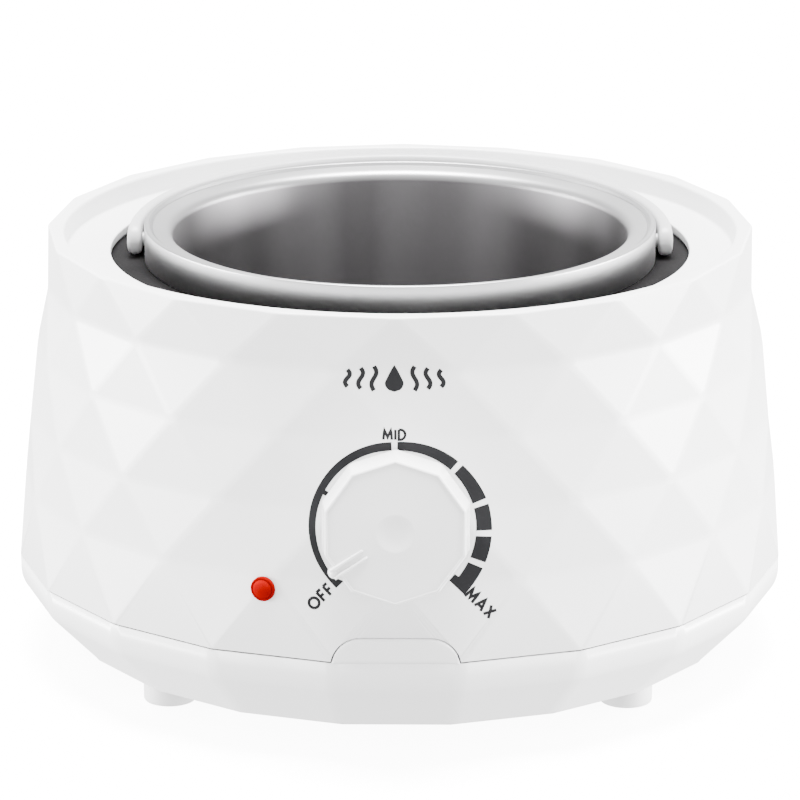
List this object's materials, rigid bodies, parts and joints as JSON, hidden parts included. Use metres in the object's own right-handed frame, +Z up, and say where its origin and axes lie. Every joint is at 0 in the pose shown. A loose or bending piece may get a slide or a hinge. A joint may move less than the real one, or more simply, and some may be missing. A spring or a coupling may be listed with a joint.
{
  "type": "wax warmer pot",
  "caption": "Faceted white tabletop wax warmer with a lift-out metal wax pot, folding bail handle, temperature knob and indicator lamp.",
  "frame": {"origin": "middle of the object's box at table level, under the feet", "axes": "+Z up, -Y towards the user's side with the knob, +X to the user's right"},
  "size_m": [0.1852, 0.2036, 0.1068],
  "materials": {
    "white_plastic": "gloss moulded",
    "foot_rubber": "satin",
    "steel": "plated",
    "pan_coating": "dark grey non-stick coating",
    "silicone": "satin silicone",
    "element": "sheathed ring heater",
    "fuse": "satin",
    "thermostat": "phenolic",
    "brass": "plain",
    "knob_plastic": "gloss moulded",
    "red_lens": "transparent red, polished",
    "lamp_glass": "clear",
    "nylon": "natural nylon",
    "white_nylon": "satin moulded",
    "pot_aluminium": "satin spun",
    "handle_plastic": "satin moulded"
  },
  "bodies": {
    "housing": {"upper_shell": "white_plastic", "base_shell": "white_plastic", "foot_1": "foot_rubber", "foot_2": "foot_rubber", "foot_3": "foot_rubber", "foot_4": "foot_rubber", "base_screws": "steel", "heater_pan": "pan_coating", "pan_gasket": "silicone", "pan_clips": "steel", "pan_clip_screws": "steel", "heating_element": "element", "element_clamp_plate": "steel", "clamp_stud": "steel", "clamp_nut": "steel", "thermal_fuse": "fuse", "fuse_clip": "steel", "thermostat_body": "thermostat", "thermostat_washer": "steel", "thermostat_nut": "brass", "indicator_lens": "red_lens", "indicator_lamp": "lamp_glass", "lamp_retainer": "steel", "terminal_block": "nylon", "terminal_screws": "brass", "cord_gland": "white_nylon", "gland_nut": "white_nylon"},
    "knob": {"thermostat_shaft": "steel", "control_knob": "knob_plastic", "knob_spring_clip": "steel"},
    "wax_pot": {"wax_pot": "pot_aluminium"},
    "bail_handle": {"bail_handle": "handle_plastic"}
  },
  "joints": [
    {"name": "knob_turn", "type": "hinge", "parent": "housing", "child": "knob", "pos_m": [0, -0.08984, 0.0571], "axis": [0, 0.9945, -0.1045], "range_deg": [0, 259]},
    {"name": "pot_lift", "type": "slide", "parent": "housing", "child": "wax_pot", "axis": [0, 0, 1], "range_m": [0, 0.11]},
    {"name": "bail_swing", "type": "hinge", "parent": "wax_pot", "child": "bail_handle", "pos_m": [0, 0, 0.1006], "axis": [1, 0, 0], "range_deg": [0, 175.8]}
  ]
}
